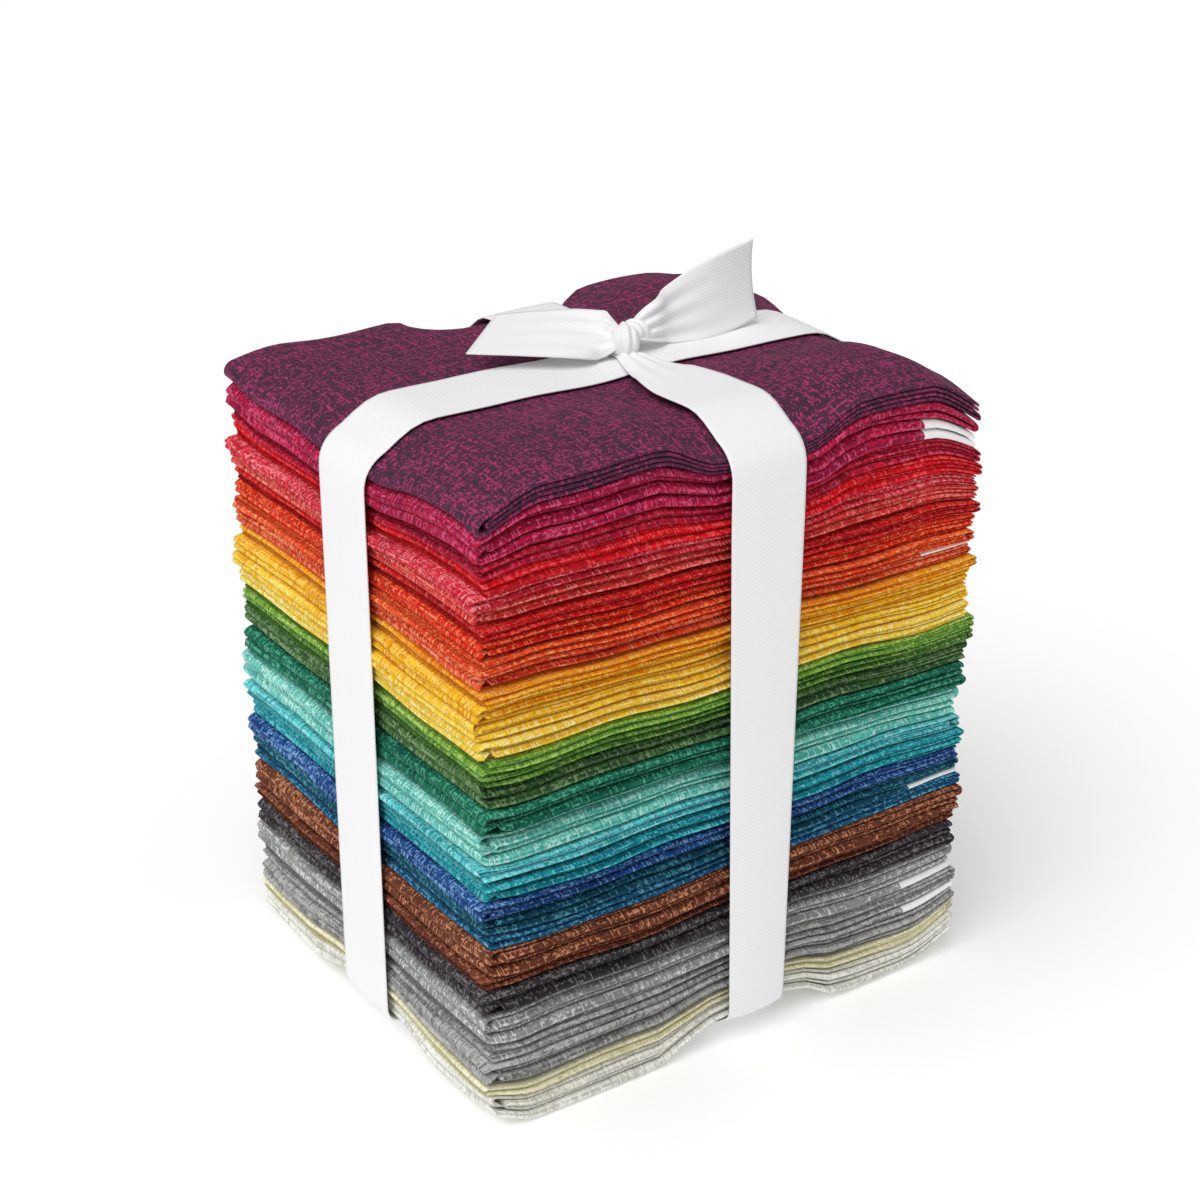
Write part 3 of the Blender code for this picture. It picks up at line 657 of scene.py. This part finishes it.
def stack_top(x, y, lift):
    """Height of the top quarter with its swell, plus lift."""
    z = surface_between(LEVELS[-1], x, y)
    return z + swell(x, y, z) + lift


def stack_foot(x, y, drop):
    """Height of the underside, less drop."""
    return surface_between(0.0, x, y) - drop


def band(name, node, across_x, at, reach, lift, narrowing):
    """One band: the closed line with 25 places across it, narrowed, cupped and pleated by narrowing."""
    def top(along):
        place = np.full_like(along, at)
        sides = [
            stack_top(along, place + w, lift) if across_x else stack_top(place + w, along, lift)
            for w in (-0.4 * RIBBON_WIDTH, 0.0, 0.4 * RIBBON_WIDTH)
        ]
        return np.maximum.reduce(sides)

    def bottom(along):
        place = np.full_like(along, at)
        return stack_foot(along, place, 0.5 * MM) if across_x else stack_foot(place, along, 1.0 * MM)

    line = band_line(reach, top, bottom, 6 * MM)
    lengths = np.concatenate([[0], np.cumsum(np.linalg.norm(np.diff(line, axis=0), axis=1))])
    side = np.linspace(-1, 1, 25)
    half, cup, pleated = narrowing(line)
    tangent = np.roll(line, -1, axis=0) - np.roll(line, 1, axis=0)
    tangent /= np.linalg.norm(tangent, axis=1)[:, None]
    out = np.column_stack([tangent[:, 1], -tangent[:, 0]])
    raised = cup[:, None] * (1 - side[None, :] ** 2)
    raised = raised + pleated[:, None] * 0.35 * MM * np.sin(side[None, :] * 3.5 * math.pi + 0.7)
    first = line[:, :1] + out[:, :1] * raised
    height = line[:, 1:] + out[:, 1:] * raised
    place = at + side[None, :] * half[:, None]
    points = np.stack([first, place, height] if across_x else [place, first, height], axis=-1)
    if not across_x:
        points = points[:, ::-1]
    thing = grid_mesh(name, points, (lengths, (side + 1) * RIBBON_WIDTH / 2), around=True)
    thing.data.materials.append(RIBBON)
    thickness = thing.modifiers.new("Thickness", "SOLIDIFY")
    thickness.thickness = RIBBON_THICKNESS
    thickness.offset = 0.0
    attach(thing, "root")
    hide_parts(node)
    return thing


def plain_width(line):
    """Full width all round, cupped a little, without pleats."""
    return np.full(len(line), RIBBON_WIDTH / 2), np.full(len(line), 0.25 * MM), np.zeros(len(line))


def front_width(line):
    """Pinched at the knot, opening over three centimetres, and gathered towards the front foot."""
    from_knot = np.clip((np.abs(line[:, 0] - BAND_X_AT_Y) - 1.5 * MM) / (27 * MM), 0, 1)
    near_knot = (1 - from_knot) ** 1.4 * (line[:, 1] > 0.1)
    front = (line[:, 0] < -DEPTH / 2) * np.clip(1 - line[:, 1] / 0.14, 0, 1)
    half = RIBBON_WIDTH / 2 * (1 - 0.74 * near_knot - 0.22 * front)
    return half, 0.25 * MM + 1.2 * MM * near_knot + 0.5 * MM * front, near_knot


band("ribbon_round_x", "ribbon_band_x", True, BAND_X_AT_Y, BAND_REACH_X, 0.60 * MM, plain_width)
band("ribbon_round_y", "ribbon_band_y", False, BAND_Y_AT_X, BAND_REACH_Y, 1.05 * MM, front_width)

# %% [markdown]
# ## The knot and its free ends
#
# The knot is a short piece of the ribbon drawn tight round the crossing, so it is crumpled into pleats. Its
# free ends start as narrow as the knot and open to the full width within two centimetres. Both ends are cut
# aslant. Each is a line of middles with a width, a lean and pleats that fade out.

# %% Smooth rows through a few sections
def through(rows, steps):
    """A Catmull-Rom curve through the rows of a table."""
    table = np.array(rows, dtype=float)
    padded = np.vstack([2 * table[0] - table[1], table, 2 * table[-1] - table[-2]])
    share = np.linspace(0, 1, steps, endpoint=False)[:, None]
    parts = []
    for a, b, c, d in zip(padded[:-3], padded[1:-2], padded[2:-1], padded[3:]):
        cubic = 2 * b + (c - a) * share + (2 * a - 5 * b + 4 * c - d) * share**2
        parts.append((cubic + (3 * b - a - 3 * c + d) * share**3) / 2)
    return np.vstack(parts + [table[-1:]])


KNOT = np.array([
    BAND_Y_AT_X + 2.0 * MM,
    BAND_X_AT_Y,
    float(stack_top(np.array([BAND_Y_AT_X]), np.array([BAND_X_AT_Y]), 0.0)[0]) + 4.4 * MM,
])
print("middle of the knot in mm:", np.round(KNOT / MM, 1))

# %% Free ends
# Each section: place from the knot along x, y and z in mm, width in mm, lean in degrees, depth of pleats.
TAIL_LEFT = (
    (-1.5, 0.6, 0.9, 7.0, -4, 0.9),
    (-4.5, 2.5, 1.2, 11.3, -37, 0.9),
    (-7.1, 4.5, 1.4, 16.7, -22, 0.7),
    (-12.5, 8.0, 1.9, 20.0, -14, 0.4),
    (-19.8, 13.0, 1.9, 20.5, -10.5, 0.15),
    (-29.6, 18.5, 2.0, 20.5, -6.5, 0.0),
)
TAIL_RIGHT = (
    (1.5, 0.1, 0.8, 6.0, 14, 0.9),
    (9.0, 0.8, 2.4, 10.0, 75, 0.9),
    (14.3, 2.3, 2.6, 13.7, 65, 0.6),
    (21.2, 2.7, 3.5, 16.8, 65, 0.25),
    (29.5, 2.9, 5.2, 18.6, 76, 0.05),
    (38.3, 2.9, 7.6, 19.6, 88, 0.0),
)


def free_end(name, node, rows, cut, curl):
    """Sections by middle, width, lean and pleats; cut shears the last one and curl bends its edge."""
    table = through(rows, 8)
    middle = table[:, :3] * MM + KNOT
    half = table[:, 3] * MM / 2
    lean = np.radians(table[:, 4])
    along = np.gradient(middle, axis=0)
    along /= np.linalg.norm(along, axis=1)[:, None]
    level = np.cross(np.array([0.0, 0.0, 1.0]), along)
    level /= np.linalg.norm(level, axis=1)[:, None]
    upright = np.cross(along, level)
    across = level * np.cos(lean)[:, None] + upright * np.sin(lean)[:, None]
    out = np.cross(along, across)
    side = np.linspace(-1, 1, 25)
    points = middle[:, None] + across[:, None] * side[:, None] * half[:, None, None]
    pleats = np.sin(side * 3.5 * math.pi) * table[:, 5:6] * 0.6 * MM
    share = np.linspace(0, 1, len(table))
    edge = curl * (share[:, None] ** 3) * side[None, :] ** 2
    points = points + out[:, None] * (pleats + edge)[:, :, None]
    points = points + along[:, None] * (side[None, :, None] * cut / 2 * share[:, None, None] ** 2)
    lengths = np.concatenate([[0], np.cumsum(np.linalg.norm(np.diff(middle, axis=0), axis=1))])
    thing = grid_mesh(name, points, (lengths, (side + 1) * RIBBON_WIDTH / 2))
    thing.data.materials.append(RIBBON)
    thickness = thing.modifiers.new("Thickness", "SOLIDIFY")
    thickness.thickness = RIBBON_THICKNESS
    thickness.offset = 0.0
    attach(thing, "root")
    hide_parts(node)
    print(name, "is", round(lengths[-1] / MM), "mm long")
    return thing


# %% The wrap of the knot
def knot_points(sizes, centre, turn_deg, pleat, seed):
    """A closed barrel: an ellipse around, bulging across, with pleats that wind round it."""
    around = np.linspace(0, 2 * math.pi, 49)[:-1]
    across = np.linspace(-1, 1, 21)
    rng = np.random.default_rng(seed)
    round_, cross = np.meshgrid(around, across, indexing="ij")
    bulge = np.sqrt(np.clip(1 - 0.72 * cross**2, 0, 1)) * np.where(np.abs(cross) > 0.999, 0.3, 1.0)
    folds = 1 + pleat * np.sin(cross * 9 + round_ + rng.uniform(0, 6)) * (1 - cross**2)
    x = cross * sizes[0] / 2
    y = np.cos(round_) * bulge * folds * sizes[1] / 2
    z = np.sin(round_) * bulge * folds * sizes[2] / 2
    turn = math.radians(turn_deg)
    turned_x = x * math.cos(turn) - y * math.sin(turn)
    turned_y = x * math.sin(turn) + y * math.cos(turn)
    flat = (around * sizes[1] / 2, (across + 1) * sizes[0] / 2)
    return np.stack([turned_x, turned_y, z], axis=-1) + centre, flat


WRAP_SIZES = np.array([6.6, 9.5, 8.2]) * MM
WRAP_PLACE = KNOT + np.array([-1.2, 0.3, 0.0]) * MM
LOBE_SIZES = np.array([6.2, 6.6, 5.4]) * MM
LOBE_MIDDLE = KNOT + np.array([3.0, 1.6, 1.2]) * MM
wrap_points, wrap_flat = knot_points(WRAP_SIZES, WRAP_PLACE, -18, 0.09, 4)
knot = grid_mesh("ribbon_knot_wrap", wrap_points, wrap_flat, around=True)
knot.data.materials.append(RIBBON)
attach(knot, "root")
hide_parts("ribbon_knot")
lobe_points, lobe_flat = knot_points(LOBE_SIZES, LOBE_MIDDLE, 32, 0.10, 9)
lobe = grid_mesh("ribbon_knot_lobe", lobe_points, lobe_flat, around=True)
lobe.data.materials.append(RIBBON)
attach(lobe, "root")
free_end("ribbon_end_left", "ribbon_tail_left", TAIL_LEFT, 8.0 * MM, 0.0)
free_end("ribbon_end_right", "ribbon_tail_right", TAIL_RIGHT, 4.0 * MM, 1.5 * MM)

# %% [markdown]
# ## Table, light and camera
#
# The bundle stands on a plain pale sweep in soft light from the left, so that the narrow face is the bright
# one. The camera looks slightly down at the corner with a long lens.

# %% Floor
floor_mesh = bpy.data.meshes.new("pale_floor")
REACH = 4.0
corners = [(-REACH, -REACH, 0), (REACH, -REACH, 0), (REACH, REACH, 0), (-REACH, REACH, 0)]
floor_mesh.from_pydata(corners, [], [(0, 1, 2, 3)])
floor = bpy.data.objects.new("pale_floor", floor_mesh)
bpy.context.scene.collection.objects.link(floor)
paper = Finish("pale_paper", 0.9)
paper.shader.inputs["Base Color"].default_value = linear((250, 250, 250))
paper.shader.inputs["Emission Color"].default_value = (1.0, 1.0, 1.0, 1.0)
paper.shader.inputs["Emission Strength"].default_value = 0.16
floor_mesh.materials.append(paper.material)

# %% Lights and world
def soft_light(name, towards, spread_deg, power):
    """A broad far lamp, seen in direction towards, whose light is spread over an angle."""
    lamp = bpy.data.lights.new(name, "SUN")
    lamp.angle = math.radians(spread_deg)
    lamp.energy = power
    thing = bpy.data.objects.new(name, lamp)
    back = np.array(towards) / np.linalg.norm(towards)
    right = np.cross((0.0, 0.0, 1.0), back)
    right /= np.linalg.norm(right)
    up = np.cross(back, right)
    thing.matrix_world = Matrix([(*row, 0.0) for row in np.column_stack([right, up, back])] + [(0, 0, 0, 1)])
    bpy.context.scene.collection.objects.link(thing)
    return thing


soft_light("key_from_left", (-0.48, -0.19, 0.855), 55, 2.0)
soft_light("fill_from_front", (0.45, -0.85, 0.75), 70, 0.12)
world = bpy.data.worlds.new("studio")
world.use_nodes = True
world.node_tree.nodes["Background"].inputs[0].default_value = (1.0, 1.0, 1.0, 1.0)
world.node_tree.nodes["Background"].inputs[1].default_value = 0.35
bpy.context.scene.world = world
scene = bpy.context.scene
scene.view_settings.view_transform = "Standard"
scene.view_settings.look = "None"
scene.view_settings.exposure = 0.0
print("lamps:", [thing.name for thing in bpy.data.objects if thing.type == "LIGHT"])

# %% Camera
SENSOR = 36.0
FOCAL_PIXELS = 2612.8
IMAGE_PIXELS = 1200
right_axis = (0.82867, -0.55973, -0.00381)
up_axis = (0.24214, 0.35233, 0.90401)
view_axis = (0.50466, 0.75005, -0.42750)
place = (-0.32537, -0.48228, 0.37243)
lens = bpy.data.cameras.new("camera")
lens.sensor_width = SENSOR
lens.lens = SENSOR * FOCAL_PIXELS / IMAGE_PIXELS
lens.clip_end = 50
camera = bpy.data.objects.new("camera", lens)
camera.matrix_world = Matrix([
    (right_axis[0], up_axis[0], -view_axis[0], place[0]),
    (right_axis[1], up_axis[1], -view_axis[1], place[1]),
    (right_axis[2], up_axis[2], -view_axis[2], place[2]),
    (0, 0, 0, 1),
])
scene.collection.objects.link(camera)
scene.camera = camera
print("lens in mm:", round(lens.lens, 1))
